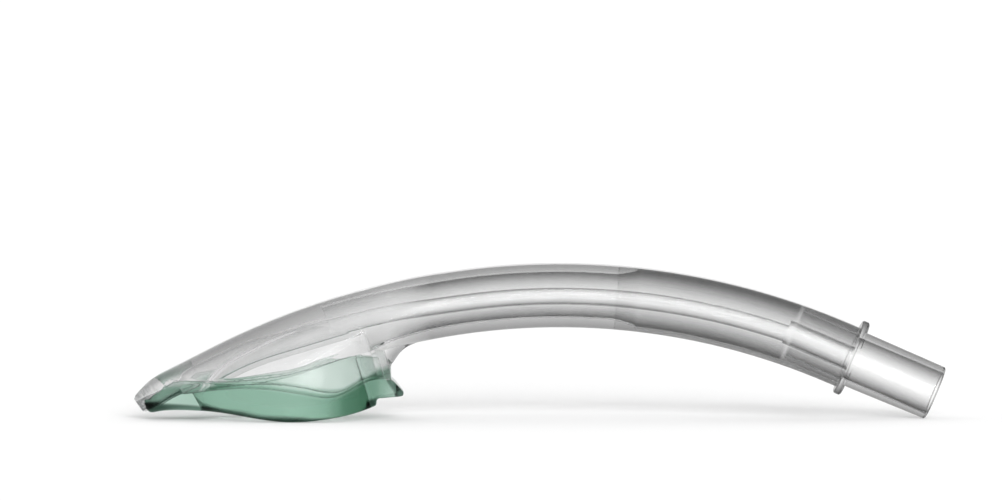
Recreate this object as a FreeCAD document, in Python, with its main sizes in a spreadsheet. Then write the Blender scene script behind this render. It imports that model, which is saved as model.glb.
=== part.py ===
import FreeCAD, Part
import math
import os
import Sketcher

# A supraglottic airway: a clear stem bent to one radius, a clear mask back with a soft cuff round
# its rim, and a 15 mm connector. While it is built, the axis of the bend is the Y axis. Angles are
# in degrees from the crown of the bend, positive towards the tip of the mask, and levels are radii
# from the axis of the bend. At the end everything moves so that the middle of the footprint on the
# table is the origin, with the connector towards +X and the opening of the mask facing down.

V = FreeCAD.Vector
QUARTER_WEIGHTS = [1.0, math.sqrt(0.5), 1.0]

# Every driving dimension: name, value in millimetres or degrees, and what it is.
SIZES = [
    ("bend_radius", 193.0, "bend radius at the middle of the stem"),
    ("stem_height", 17.3, "stem height, top to underside"),
    ("stem_width", 26.4, "stem width across both lumens"),
    ("straight_angle", -23.0, "angle where the stem's bend ends, near the flange"),
    ("straight_end", 4.25, "straight length of the stem behind the bend"),
    ("seam_angle", -4.7, "angle of the seam between tube and mask body"),
    ("tube_wall", 1.8, "wall round the airway lumen in the tube"),
    ("body_wall", 3.05, "wall round the airway lumen in the mask body"),
    ("channel_bore", 4.5, "gastric channel bore"),
    ("channel_offset", 7.2, "gastric channel, distance beside the midline"),
    ("port_bore", 6.5, "gastric port bore at the rear end"),
    ("port_depth", 18.8, "gastric port depth"),
    ("seam_flare", 6.2, "length behind the seam in which the lumen widens"),
    ("bond_gap", 0.1, "film of adhesive round a bonded spigot"),
    ("cone_length", 24.0, "connector cone beyond the flange"),
    ("cone_end", 15.2, "connector cone diameter at its free end"),
    ("cone_growth", 0.6, "growth of the cone's diameter from its free end to the flange"),
    ("connector_bore", 12.0, "connector bore"),
    ("flange_size", 21.5, "flange diameter"),
    ("flange_thickness", 2.05, "flange thickness"),
    ("notch_clearance", 0.2, "room round the gastric port in the flange's notch"),
    ("spigot_length", 16.0, "connector spigot inside the tube"),
    ("spigot_wall", 1.1, "connector spigot wall"),
    ("edge_break", 0.35, "bevels and rounding of the connector's edges"),
    ("blend_angle", 9.0, "where the stem starts to widen into the mask"),
    ("rear_angle", 15.1, "rear face of the mask"),
    ("tip_angle", 35.25, "tip of the mask"),
    ("mask_width", 44.0, "greatest width of the mask back"),
    ("widest_share", 0.36, "place of the greatest width, as a share of the mask's length"),
    ("tip_width", 9.0, "width of the blunt tip"),
    ("tip_height", 5.2, "height of the blunt tip"),
    ("nose_round", 1.1, "rounding of the blunt tip"),
    ("hollow_tip", 6.0, "width of the bowl's narrow end"),
    ("throat_sweep", 3.7, "angle in which the underside curves down to the rear of the mask"),
    ("bowl_start", 1.15, "angle from the rear of the mask to the bowl"),
    ("bowl_end", 0.83, "end of the bowl, as a share of the mask's length"),
    ("mouth_start", 2.5, "angle from the rear of the mask to the cuff's opening"),
    ("mouth_end", 0.79, "end of the cuff's opening, as a share of the mask's length"),
    ("lumen_end", 3.9, "angle from the rear of the mask to the end of the lumen"),
    ("profile_step", 1.0, "one step of the depth tables"),
    ("crown_rise", 1.8, "rise of the back above the bend near the tip"),
    ("shell_wall", 3.0, "wall of the shell in the cuff"),
    ("crown_wall", 5.0, "wall over the bowl at the midline"),
    ("ridge_wall", 1.4, "wall round the drain channel in the bowl"),
    ("outlet_bore", 2.2, "drain outlet at the tip"),
    ("drain_depth", 5.35, "depth of the drain under the crown at the midline"),
    ("outlet_depth", 1.5, "depth of the drain's line under the crown at the tip"),
    ("cuff_skin", 1.6, "cuff skin outside the shell"),
    ("cuff_proud", 0.3, "step from the mask back out to the cuff"),
    ("cuff_ring", 7.4, "cuff width from the outside to the opening"),
    ("cuff_round", 5.6, "width of the cuff's rounded lower side"),
    ("cuff_end", 0.985, "end of the cuff, as a share of the mask's length"),
    ("cuff_depth", 31.1, "deepest level of the cuff under the crown"),
    ("rim_depth", 24.7, "deepest level of the shell's rim under the crown"),
    ("lip_height", 5.2, "height of the cuff's rear lip"),
    ("lip_reach", 2.3, "reach of the rear lip behind the mask"),
    ("lip_level", 6.3, "height of the lip's underside over the lowest point"),
    ("lip_length", 12.0, "half length of the oval that rounds the lip in plan"),
    ("lip_half", 10.5, "half width of that oval"),
]

doc = FreeCAD.newDocument("supraglottic_airway")
sheet = doc.addObject("Spreadsheet::Sheet", "Sizes")
for row, (name, value, note) in enumerate(SIZES, start=1):
    sheet.set(f"A{row}", name)
    sheet.set(f"B{row}", str(value))
    sheet.set(f"C{row}", note)
    sheet.setAlias(f"B{row}", name)
doc.recompute()


def size(name):
    """A driving dimension from the sheet."""
    return float(getattr(sheet, name))


BEND = size("bend_radius")
STEP = size("profile_step")
HALF_STEM = size("stem_height") / 2
CROWN = BEND + HALF_STEM
UNDERSIDE = BEND - HALF_STEM
STEM_FLAT = size("stem_width") / 2 - HALF_STEM
REAR = size("rear_angle")
TIP = size("tip_angle")
WIDEST = REAR + size("widest_share") * (TIP - REAR)

# The same relations for the sketches and primitives that are bound to the sheet.
LUMEN_OFFSET = "(Sizes.stem_width - Sizes.stem_height) / 2"
TUBE_LUMEN = "(Sizes.stem_height / 2 - Sizes.tube_wall)"
BODY_LUMEN = "(Sizes.stem_height / 2 - Sizes.body_wall)"
FLARE_END = f"({TUBE_LUMEN} - 1.5 * Sizes.bond_gap)"
FLARE_SWEEP = "(Sizes.seam_flare - 5 * Sizes.bond_gap) / Sizes.bend_radius * 180 / pi"
SOCKET_BORE = f"({TUBE_LUMEN} + Sizes.bond_gap)"
STEM_SWEEP = "Sizes.seam_angle - Sizes.straight_angle"


def at(angle, across, radius):
    """A point of the bend: its angle from the crown, its distance beside the midline, its radius."""
    turn = math.radians(angle)
    return V(-radius * math.sin(turn), across, radius * math.cos(turn))


def forward(angle):
    """The direction along the bend towards the tip of the mask."""
    turn = math.radians(angle)
    return V(-math.cos(turn), 0, -math.sin(turn))


def smooth(points, place):
    """A curve through the points with no overshoot, read at one place."""
    if place <= points[0][0]:
        return points[0][1]
    if place >= points[-1][0]:
        return points[-1][1]
    runs = [b[0] - a[0] for a, b in zip(points, points[1:])]
    rises = [(b[1] - a[1]) / run for a, b, run in zip(points, points[1:], runs)]
    slopes = [rises[0]]
    for left, right in zip(rises, rises[1:]):
        slopes.append(2 * left * right / (left + right) if left * right > 0 else 0.0)
    slopes.append(rises[-1])
    k = max(i for i in range(len(runs)) if points[i][0] <= place)
    t = (place - points[k][0]) / runs[k]
    start, end = points[k][1], points[k + 1][1]
    hermite = (1 + 2 * t) * (1 - t) ** 2 * start + t * t * (3 - 2 * t) * end
    return hermite + runs[k] * (t * (1 - t) ** 2 * slopes[k] - t * t * (1 - t) * slopes[k + 1])


def along(points, angle):
    """The radius of a line whose depths under the crown stand at shares of the mask's length."""
    return CROWN - STEP * smooth(points, (angle - REAR) / (TIP - REAR))


def nose_inset(angle, end):
    """How far the rounding of a blunt end draws a section in."""
    radius = size("nose_round")
    left = math.radians(end - angle) * CROWN
    if left >= radius:
        return 0.0
    return radius - math.sqrt(radius * radius - (radius - max(left, 0.2 * radius)) ** 2)


def nose_stations(end):
    """The angles of the sections in the rounding of a blunt end."""
    whole = math.degrees(size("nose_round") / CROWN)
    return [end - share * whole for share in (2.0, 1.4, 1.0, 0.75, 0.5, 0.35, 0.2)]


def between(start, end, shares):
    """Angles at shares of the way from start to end."""
    return [start + share * (end - start) for share in shares]


# Sections across the bend, and closed solids through them

def section(angle, half, top, widest, bottom, top_flat, bottom_flat):
    """A section as six runs: a flat top and bottom, joined by quarters of ellipses.

    Each run is its points: two for a straight run, three for a quarter, whose middle point is the
    corner of the box round it.
    """
    corners = [
        at(angle, -top_flat, top),
        at(angle, top_flat, top),
        at(angle, half, widest),
        at(angle, bottom_flat, bottom),
        at(angle, -bottom_flat, bottom),
        at(angle, -half, widest),
    ]
    return [
        [corners[0], corners[1]],
        [corners[1], at(angle, half, top), corners[2]],
        [corners[2], at(angle, half, bottom), corners[3]],
        [corners[3], corners[4]],
        [corners[4], at(angle, -half, bottom), corners[5]],
        [corners[5], at(angle, -half, top), corners[0]],
    ]


def run_edge(points):
    """The edge of one run of a section."""
    if len(points) == 2:
        return Part.makeLine(*points)
    curve = Part.BSplineCurve()
    curve.buildFromPolesMultsKnots(points, [3, 3], [0.0, 1.0], False, 2, QUARTER_WEIGHTS)
    return curve.toShape()


def strip(runs, stations):
    """The face that one run sweeps from section to section, smooth along the bend."""
    across = []
    for points in zip(*runs):
        curve = Part.BSplineCurve()
        curve.interpolate(Points=list(points), Parameters=stations)
        across.append(curve)
    poles = [list(row) for row in zip(*(curve.getPoles() for curve in across))]
    degree = len(across) - 1
    weights = QUARTER_WEIGHTS if degree == 2 else [1.0, 1.0]
    surface = Part.BSplineSurface()
    surface.buildFromPolesMultsKnots(
        poles,
        across[0].getMultiplicities(),
        [degree + 1, degree + 1],
        across[0].getKnots(),
        [0.0, 1.0],
        False,
        False,
        across[0].Degree,
        degree,
        [weights for _ in poles],
    )
    return surface.toShape()


def loft(stations, sections):
    """A closed solid through sections that stand at the station angles."""
    faces = [strip(runs, stations) for runs in zip(*sections)]
    for end in (sections[0], sections[-1]):
        faces.append(Part.Face(Part.Wire([run_edge(points) for points in end])))
    shell = Part.makeShell(faces)
    shell.sewShape()
    solid = Part.makeSolid(shell)
    if solid.Volume < 0:
        solid.reverse()
    return solid


# Lines of the mask: depths under the crown of the bend at shares of its length from the rear

BACK = [(0.0, -0.1), (0.34, -0.45), (0.74, -1.05), (0.9, -size("crown_rise") / STEP), (1.0, -0.5)]
SHOULDER = [(-0.3, HALF_STEM / STEP), (0.0, 11.2), (0.21, 14.4), (0.38, 14.0), (0.48, 12.2), (0.67, 7.4),
            (0.84, 1.2), (1.0, 1.6)]
FLOOR = [(-0.3, 2 * HALF_STEM / STEP), (0.4, 2 * HALF_STEM / STEP), (0.55, 14.0), (0.82, 6.0),
         (1.0, size("tip_height") / STEP - 0.5)]
CUFF_TOP = [(0.0, 18.4), (0.035, 18.0), (0.21, 14.5), (0.38, 14.1), (0.48, 12.3), (0.67, 7.5),
            (0.84, 1.3), (1.0, 1.7)]
RIM = [(0.0, 25.2), (0.08, 23.8), (0.26, size("rim_depth") / STEP), (0.4, 20.0), (0.55, 14.1), (0.82, 6.1)]
KEEL = [(0.0, 30.4), (0.175, size("cuff_depth") / STEP), (0.36, 29.2), (0.525, 25.2), (0.735, 15.5),
        (0.94, 6.9), (1.0, 5.2)]
CEILING = [(0.06, 11.5), (0.12, 7.5), (0.2, 5.4), (0.34, size("crown_wall") / STEP), (0.6, 5.2),
           (0.83, 8.6)]


def back_half(angle):
    """Half the width of the mask back: it widens out of the stem and closes to the blunt tip."""
    stem = size("stem_width") / 2
    most = size("mask_width") / 2
    least = size("tip_width") / 2
    if angle <= WIDEST:
        share = max(0.0, (angle - size("blend_angle")) / (WIDEST - size("blend_angle")))
        return stem + (most - stem) * share * share * (3 - 2 * share)
    share = (angle - WIDEST) / (TIP - WIDEST)
    return least + (most - least) * max(0.0, math.cos(share * math.pi / 2)) ** 0.8


def rounded_end(angle, rear, least):
    """The share of the width that is left near a rear end that is round in plan."""
    share = min(1.0, max(0.0, (angle - rear) / (WIDEST - REAR)))
    return least + (1 - least) * math.sqrt(1 - (1 - share) ** 2)


def cuff_half(angle):
    """Half the width of the cuff, which is round at the rear."""
    return (back_half(angle) + size("cuff_proud")) * rounded_end(angle, REAR, 0.55)


def hollow_half(angle, inset, rear, front):
    """Half the width of a hollow in the mask, round at both ends."""
    if angle <= WIDEST:
        return (back_half(angle) - inset) * rounded_end(angle, rear, 0.6)
    share = (angle - WIDEST) / (front - WIDEST)
    least = size("hollow_tip") / 2
    most = size("mask_width") / 2 - inset
    return least + (most - least) * max(0.0, math.cos(share * math.pi / 2)) ** 0.6


def back_shape():
    """The mask back and the front half of the stem, closed, out to the tip."""
    stations = between(size("seam_angle"), size("blend_angle"), (0.0, 0.25, 0.5, 0.75))
    stations += between(size("blend_angle"), REAR, (0.0, 0.34, 0.67))
    stations += between(REAR, TIP, (0.0, 0.12, 0.24, 0.36, 0.48, 0.6, 0.72, 0.82, 0.9, 0.95))
    stations += nose_stations(TIP) + [TIP]
    sections = []
    for angle in stations:
        in_stem = angle <= size("blend_angle")
        share = max(0.0, (angle - REAR) / (TIP - REAR))
        flat = STEM_FLAT + (size("tip_width") / 4 - STEM_FLAT) * share
        top = CROWN if in_stem else along(BACK, angle)
        widest = BEND if in_stem else along(SHOULDER, angle)
        bottom = UNDERSIDE if in_stem else along(FLOOR, angle)
        inset = nose_inset(angle, TIP)
        half = back_half(angle) - inset
        sections.append(section(angle, half, top - inset, widest, bottom + inset, flat, flat))
    return loft(stations, sections)


def skirt_shape():
    """What the shell has below its back, inside the cuff, down to its rim."""
    stations = between(REAR, TIP, (0.0, 0.02, 0.06, 0.14, 0.26, 0.38, 0.5, 0.62, 0.74, 0.82))
    sections = []
    for angle in stations:
        half = cuff_half(angle) - size("cuff_skin")
        top = along(SHOULDER, angle) + 0.3
        bottom = along(RIM, angle)
        middle = bottom + 0.4 * (top - bottom)
        sections.append(section(angle, half, top, middle, bottom, half - 0.6, half - 1.4))
    return loft(stations, sections)


def throat_shape():
    """The hollow curve from the stem's underside into the rear face of the mask."""
    start = REAR - size("throat_sweep")
    stations = between(start, REAR, (0.0, 0.35, 0.65, 0.86, 0.96, 1.0))
    drop = UNDERSIDE - along(RIM, REAR)
    half = cuff_half(REAR) - size("cuff_skin")
    sections = []
    for angle in stations:
        share = (angle - start) / (REAR - start)
        bottom = UNDERSIDE + 0.3 - (drop + 0.3) * (1 - math.sqrt(1 - share * share))
        sections.append(section(angle, half, BEND, bottom + 3.0, bottom, half - 1.0, half - 2.4))
    return loft(stations, sections)


def hollow_shape(rear, front, inset, rise):
    """A hollow that opens downwards through the mask, with a roof along the ceiling line."""
    stations = between(rear, front, (0.0, 0.03, 0.09, 0.19, 0.32, 0.46, 0.6, 0.74, 0.87, 0.96, 1.0))
    sections = []
    for angle in stations:
        half = hollow_half(angle, inset, rear, front)
        top = along(CEILING, angle) + rise
        bottom = along(KEEL, angle) - 6.0
        middle = 0.5 * (top + bottom)
        sections.append(section(angle, half, top, middle, bottom, half * 0.2, half - 0.2))
    return loft(stations, sections)


def bowl_shape():
    """The hollow of the bowl, under the mask back and inside the shell."""
    inset = size("cuff_skin") - size("cuff_proud") + size("shell_wall")
    end = REAR + size("bowl_end") * (TIP - REAR)
    return hollow_shape(REAR + size("bowl_start"), end, inset, 0.0)


def mouth_shape():
    """The opening through the cuff."""
    inset = size("cuff_ring") - size("cuff_proud")
    end = REAR + size("mouth_end") * (TIP - REAR)
    return hollow_shape(REAR + size("mouth_start"), end, inset, size("cuff_skin"))


def slab_shape():
    """The cuff as a closed slab round the rim, before the shell and the opening come out of it."""
    end = REAR + size("cuff_end") * (TIP - REAR)
    stations = between(REAR, TIP, (0.0, 0.02, 0.06, 0.14, 0.26, 0.38, 0.5, 0.62, 0.74, 0.84, 0.91))
    stations += nose_stations(end) + [end]
    sections = []
    for angle in stations:
        inset = nose_inset(angle, end)
        half = cuff_half(angle) - inset
        top = along(CUFF_TOP, angle)
        bottom = along(KEEL, angle) + inset
        rounding = min(size("cuff_round"), 0.6 * half)
        shoulder = min(0.8, 0.15 * (top - bottom))
        sections.append(
            section(angle, half, top, top - shoulder, bottom, half - shoulder, half - rounding)
        )
    return loft(stations, sections)


# The drain: it follows the stem, crosses to the midline over the bowl and leaves at the tip

def drain_corners():
    """The corners of the drain's route inside the mask."""
    side = -size("channel_offset")
    start = size("blend_angle") - 1
    turn = start + 6
    return [
        at(start, side, BEND),
        at(turn, side, BEND / math.cos(math.radians(turn - start))),
        at(REAR + 0.52 * (TIP - REAR), 0, CROWN - size("drain_depth")),
        at(TIP + 1.25, 0, CROWN - size("outlet_depth")),
    ]


def drain_taper():
    """Where the drain starts to narrow, on the last straight run of its route."""
    corner, end = drain_corners()[2:]
    return corner + (end - corner) * 0.35


def drain_route():
    """The route as straight runs joined by tangent arcs, up to where the drain narrows."""
    corners = drain_corners()[:3] + [drain_taper()]
    edges = []
    here = corners[0]
    for before, corner, after in zip(corners, corners[1:], corners[2:]):
        back = (before - corner).normalize()
        ahead = (after - corner).normalize()
        reach = 0.45 * min((before - corner).Length, (after - corner).Length)
        bisector = (back + ahead).normalize()
        half_turn = 0.5 * back.getAngle(ahead)
        radius = reach * math.tan(half_turn)
        middle = corner + bisector * (radius / math.sin(half_turn) - radius)
        edges.append(Part.makeLine(here, corner + back * reach))
        arc = Part.Arc(corner + back * reach, middle, corner + ahead * reach)
        edges.append(arc.toShape())
        here = corner + ahead * reach
    edges.append(Part.makeLine(here, corners[-1]))
    return Part.Wire(edges)


def drain_pipe(radius):
    """A round rod along the route."""
    corners = drain_corners()
    circle = Part.makeCircle(radius, corners[0], corners[1] - corners[0])
    return drain_route().makePipeShell([Part.Wire([circle])], True, False)


def drain_shape():
    """The drain's bore in the mask, out through the tip."""
    start = drain_taper()
    run = drain_corners()[3] - start
    bore = size("channel_bore") / 2
    nose = Part.makeCone(bore, size("outlet_bore") / 2, run.Length, start, run)
    return drain_pipe(bore).fuse([nose])


# The cuff's rear lip, and the room behind it

def lip_shape():
    """The lip that curls back from the cuff's rear, round in plan."""
    level = along(KEEL, REAR)
    back = forward(REAR) * -1

    def rear(reach, radius):
        return at(REAR, 0, radius) + back * reach

    reach = size("lip_reach")
    height = size("lip_height")
    top, point = rear(0, level + height), rear(reach, level + 0.1 * height)
    heel = rear(0.7 * reach, level - 0.2 * height)
    root = size("cuff_ring") / 2
    low, high = rear(-root, level - 0.2 * height), rear(-root, level + height)
    curl = Part.Arc(top, rear(0.62 * reach, level + 0.48 * height), point)
    outline = [
        curl.toShape(),
        Part.makeLine(point, heel),
        Part.makeLine(heel, low),
        Part.makeLine(low, high),
        Part.makeLine(high, top),
    ]
    width = 2 * cuff_half(REAR)
    wedge = Part.Face(Part.Wire(outline)).extrude(V(0, width, 0))
    wedge.translate(V(0, -width / 2, 0))
    tip = rear(reach, level)
    length = size("lip_length")
    plan = Part.Ellipse(V(tip.x - length, 0, 0), length, size("lip_half")).toShape()
    column = Part.Face(Part.Wire([plan])).extrude(V(0, 0, CROWN))
    return wedge.common(column)


def lowest_level():
    """The height of the cuff's lowest line."""
    angles = between(REAR, TIP, [k / 60 for k in range(61)])
    return min(along(KEEL, angle) * math.cos(math.radians(angle)) for angle in angles)


def lip_room_shape():
    """The block that trims the lip's underside level."""
    level = lowest_level() + size("lip_level")
    front = at(REAR + 1.9, 0, along(KEEL, REAR + 1.9)).x
    side = size("mask_width")
    return Part.makeBox(side, 2 * side, side, V(front, -side, level - side))


def rear_step_shape():
    """The block behind the cuff's skin, where the shell's rear wall stays bare."""
    level = along(RIM, REAR)
    thickness = size("cuff_skin")
    side = size("mask_width")
    block = Part.makeBox(thickness + side, 2 * side, side, V(-thickness, -side, level))
    block.rotate(V(0, 0, 0), V(0, 1, 0), -REAR)
    return block


# Document objects

def feature(name, shape):
    """A shape of its own in the document."""
    item = doc.addObject("Part::Feature", name)
    item.Shape = shape
    return item


def bind(item, **expressions):
    """Bind properties of an object to the sheet."""
    for prop, expression in expressions.items():
        item.setExpression(prop, expression)
    return item


def bent_rod(name, radius, side, start, end):
    """A round rod along the bend between two angles, beside the midline."""
    item = bind(doc.addObject("Part::Torus", name), Radius1="Sizes.bend_radius", Radius2=radius)
    item.Angle3 = end - start
    turn = FreeCAD.Rotation(at(start, 0, 1), forward(start), V(0, -1, 0), "XYZ")
    item.Placement = FreeCAD.Placement(V(0, side, 0), turn)
    return item


def joined(name, items):
    """Several objects as one."""
    item = doc.addObject("Part::MultiFuse", name)
    item.Shapes = items
    return item


def cut(name, base, tool):
    """One object less another."""
    item = doc.addObject("Part::Cut", name)
    item.Base = base
    item.Tool = tool
    return item


def origin_plane(body, role):
    """One of a body's own origin planes."""
    return next(item for item in body.Origin.OriginFeatures if item.Role == role)


def new_sketch(body, name, role):
    """A sketch on one of the body's origin planes."""
    sketch = body.newObject("Sketcher::SketchObject", name)
    sketch.AttachmentSupport = [(origin_plane(body, role), "")]
    sketch.MapMode = "FlatFace"
    return sketch


def pin(sketch, index, point, across, up):
    """Hold a point of a sketch at two expressions, measured from the sketch's origin."""
    for kind, expression in (("DistanceX", across), ("DistanceY", up)):
        value = float(sketch.evalExpression(expression))
        number = sketch.addConstraint(Sketcher.Constraint(kind, -1, 1, index, point, value))
        sketch.setExpression(f"Constraints[{number}]", expression)


def read(sketch, expression):
    """The value of an expression."""
    return float(sketch.evalExpression(expression))


def circle(sketch, across, up, radius):
    """A circle whose place and radius are expressions."""
    centre = V(read(sketch, across), read(sketch, up), 0)
    index = sketch.addGeometry(Part.Circle(centre, V(0, 0, 1), read(sketch, radius)))
    pin(sketch, index, 3, across, up)
    number = sketch.addConstraint(Sketcher.Constraint("Radius", index, read(sketch, radius)))
    sketch.setExpression(f"Constraints[{number}]", radius)


def outline(sketch, corners):
    """A closed outline of straight lines through corners given as expressions."""
    points = [V(read(sketch, across), read(sketch, up), 0) for across, up in corners]
    count = len(points)
    for k, point in enumerate(points):
        sketch.addGeometry(Part.LineSegment(point, points[(k + 1) % count]))
    for k in range(count):
        sketch.addConstraint(Sketcher.Constraint("Coincident", k, 2, (k + 1) % count, 1))
    for k, (across, up) in enumerate(corners):
        pin(sketch, k, 1, across, up)


def stadium(sketch):
    """The stem's section: two half circles joined by flats."""
    flat, half = STEM_FLAT, HALF_STEM
    right, left = V(flat, BEND, 0), V(-flat, BEND, 0)
    up = V(0, half, 0)
    quarter_turn = math.pi / 2
    sketch.addGeometry(Part.LineSegment(left + up, right + up))
    sketch.addGeometry(
        Part.ArcOfCircle(Part.Circle(right, V(0, 0, 1), half), -quarter_turn, quarter_turn)
    )
    sketch.addGeometry(Part.LineSegment(right - up, left - up))
    sketch.addGeometry(
        Part.ArcOfCircle(Part.Circle(left, V(0, 0, 1), half), quarter_turn, 3 * quarter_turn)
    )
    for first, first_end, second, second_end in ((0, 2, 1, 2), (1, 1, 2, 1), (2, 2, 3, 2), (3, 1, 0, 1)):
        sketch.addConstraint(Sketcher.Constraint("Tangent", first, first_end, second, second_end))
    pin(sketch, 1, 3, LUMEN_OFFSET, "Sizes.bend_radius")
    pin(sketch, 3, 3, f"-{LUMEN_OFFSET}", "Sizes.bend_radius")
    sketch.addConstraint(Sketcher.Constraint("Equal", 1, 3))
    number = sketch.addConstraint(Sketcher.Constraint("Radius", 1, half))
    sketch.setExpression(f"Constraints[{number}]", "Sizes.stem_height / 2")


def turn_sketch(sketch, expression, beyond="0"):
    """Turn a sketch about the axis of the bend by an expression, and move it off along the stem."""
    sketch.AttachmentOffset = FreeCAD.Placement(V(0, 0, 0), FreeCAD.Rotation(V(1, 0, 0), 1))
    sketch.setExpression("AttachmentOffset.Rotation.Angle", f"-({expression})")
    if beyond != "0":
        sketch.setExpression("AttachmentOffset.Base.y", f"sin({expression} * 1 deg) * {beyond}")
        sketch.setExpression("AttachmentOffset.Base.z", f"cos({expression} * 1 deg) * {beyond}")


def turned(body, kind, name, sketch, angle):
    """A revolution or groove of a sketch about its own horizontal axis."""
    item = body.newObject(kind, name)
    item.Profile = sketch
    item.ReferenceAxis = (sketch, ["H_Axis"])
    item.setExpression("Angle", angle)
    doc.recompute()
    return item


def pocket(body, name, sketch, depth):
    """A straight pocket from a sketch into the body."""
    item = body.newObject("PartDesign::Pocket", name)
    item.Profile = sketch
    item.setExpression("Length", depth)
    doc.recompute()
    return item


def make_airway_tube():
    """The rear half of the stem: lumen, flare at the seam, gastric channel, port and socket."""
    body = doc.addObject("PartDesign::Body", "airway_tube")
    body.Label = "airway_tube"
    profile = new_sketch(body, "tube_profile", "YZ_Plane")
    turn_sketch(profile, "Sizes.seam_angle")
    stadium(profile)
    doc.recompute()
    turned(body, "PartDesign::Revolution", "tube_bend", profile, STEM_SWEEP)
    end_profile = new_sketch(body, "tube_end_profile", "YZ_Plane")
    turn_sketch(end_profile, "Sizes.straight_angle")
    stadium(end_profile)
    doc.recompute()
    straight = body.newObject("PartDesign::Pad", "tube_end")
    straight.Profile = end_profile
    straight.setExpression("Length", "Sizes.straight_end")
    doc.recompute()
    bores = (
        ("lumen", LUMEN_OFFSET, TUBE_LUMEN, f"({FLARE_SWEEP})"),
        ("channel", "-Sizes.channel_offset", "Sizes.channel_bore / 2", "0"),
    )
    for name, across, radius, late in bores:
        sketch = new_sketch(body, f"{name}_profile", "YZ_Plane")
        turn_sketch(sketch, f"(Sizes.seam_angle - {late})")
        circle(sketch, across, "Sizes.bend_radius", radius)
        doc.recompute()
        turned(body, "PartDesign::Groove", f"{name}_bore", sketch, f"{STEM_SWEEP} - {late}")
    flare = body.newObject("PartDesign::SubtractiveCone", "seam_flare")
    bind(
        flare, Radius1=BODY_LUMEN, Radius2=FLARE_END, Height="Sizes.seam_flare"
    )
    seam = size("seam_angle")
    facing = FreeCAD.Rotation(V(0, 0, 1), forward(seam) * -1)
    flare.Placement = FreeCAD.Placement(at(seam, STEM_FLAT, BEND), facing)
    doc.recompute()
    seats = (
        ("socket", LUMEN_OFFSET, SOCKET_BORE, "Sizes.spigot_length + 1"),
        ("port", "-Sizes.channel_offset", "Sizes.port_bore / 2", "Sizes.port_depth"),
    )
    for name, across, radius, depth in seats:
        sketch = new_sketch(body, f"{name}_profile", "YZ_Plane")
        turn_sketch(sketch, "Sizes.straight_angle", "Sizes.straight_end")
        circle(sketch, across, "Sizes.bend_radius", radius)
        doc.recompute()
        pocket(body, f"{name}_seat", sketch, depth)
    return body


def make_connector():
    """The connector: cone, notched flange and spigot round one bore."""
    body = doc.addObject("PartDesign::Body", "connector")
    body.Label = "connector"
    profile = new_sketch(body, "connector_profile", "XZ_Plane")
    flange = "Sizes.flange_thickness"
    end = "(Sizes.flange_thickness + Sizes.cone_length)"
    inside = f"({TUBE_LUMEN} - Sizes.spigot_wall)"
    bore = "Sizes.connector_bore / 2"
    outline(profile, [
        ("-Sizes.spigot_length", inside),
        ("-Sizes.spigot_length", f"{TUBE_LUMEN} - Sizes.edge_break"),
        ("-Sizes.spigot_length + 3 * Sizes.edge_break", TUBE_LUMEN),
        ("0", TUBE_LUMEN),
        ("0", "Sizes.flange_size / 2 - Sizes.edge_break"),
        ("Sizes.edge_break", "Sizes.flange_size / 2"),
        (f"{flange} - Sizes.edge_break", "Sizes.flange_size / 2"),
        (flange, "Sizes.flange_size / 2 - Sizes.edge_break"),
        (flange, "(Sizes.cone_end + Sizes.cone_growth) / 2"),
        (f"{end} - Sizes.edge_break", "Sizes.cone_end / 2"),
        (end, "Sizes.cone_end / 2 - Sizes.edge_break"),
        (end, f"{bore} + Sizes.edge_break"),
        (f"{end} - Sizes.edge_break", bore),
        (f"{flange} / 2", bore),
        (f"-{flange} / 2", inside),
    ])
    doc.recompute()
    turned(body, "PartDesign::Revolution", "connector_turned", profile, "360")
    notch = new_sketch(body, "notch_profile", "YZ_Plane")
    far = f"-{LUMEN_OFFSET} - Sizes.flange_size"
    near = f"-Sizes.channel_offset - {LUMEN_OFFSET} + Sizes.port_bore / 2 + Sizes.notch_clearance"
    half = "(Sizes.port_bore / 2 + Sizes.notch_clearance)"
    outline(notch, [(far, f"-{half}"), (near, f"-{half}"), (near, half), (far, half)])
    doc.recompute()
    slot = pocket(body, "flange_notch", notch, f"2 * {flange}")
    slot.Midplane = True
    doc.recompute()
    return body


def make_mask_body():
    """The clear mask body: back, skirt and throat less the lumen, the bowl and the drain."""
    seam = size("seam_angle")
    outside = joined(
        "mask_outside",
        [
            feature("mask_back", back_shape()),
            feature("mask_skirt", skirt_shape()),
            feature("mask_throat", throat_shape()),
        ],
    )
    doc.recompute()
    lumen = bent_rod("mask_lumen", BODY_LUMEN, STEM_FLAT, seam, REAR + size("lumen_end"))
    open_shell = cut("mask_hollowed", outside, joined("mask_hollows", [
        lumen,
        feature("bowl", bowl_shape()),
    ]))
    ridge_radius = size("channel_bore") / 2 + size("ridge_wall")
    doc.recompute()
    ridge = feature("drain_ridge", drain_pipe(ridge_radius).common(outside.Shape))
    channel = bent_rod(
        "stem_channel", "Sizes.channel_bore / 2", -size("channel_offset"), seam, size("blend_angle") - 1
    )
    solid = joined("mask_solid", [open_shell, ridge])
    drain = joined("drain", [channel, feature("mask_drain", drain_shape())])
    return cut("mask_body", solid, drain), solid, drain


def make_gel_cuff(shell, drain):
    """The soft cuff: the slab and its lip, less the shell that it grips and the opening."""
    step = feature("rear_step", rear_step_shape())
    slab = cut("cuff_slab_stepped", feature("cuff_slab", slab_shape()), step)
    whole = joined("cuff_whole", [slab, feature("rear_lip", lip_shape())])
    room = joined("cuff_room", [
        feature("mouth", mouth_shape()),
        feature("lip_room", lip_room_shape()),
    ])
    return cut("gel_cuff", cut("cuff_seated", cut("cuff_open", whole, room), shell), drain)


tube = make_airway_tube()
connector = make_connector()
mask_body, shell, drain = make_mask_body()
gel_cuff = make_gel_cuff(shell, drain)
doc.recompute()

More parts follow.
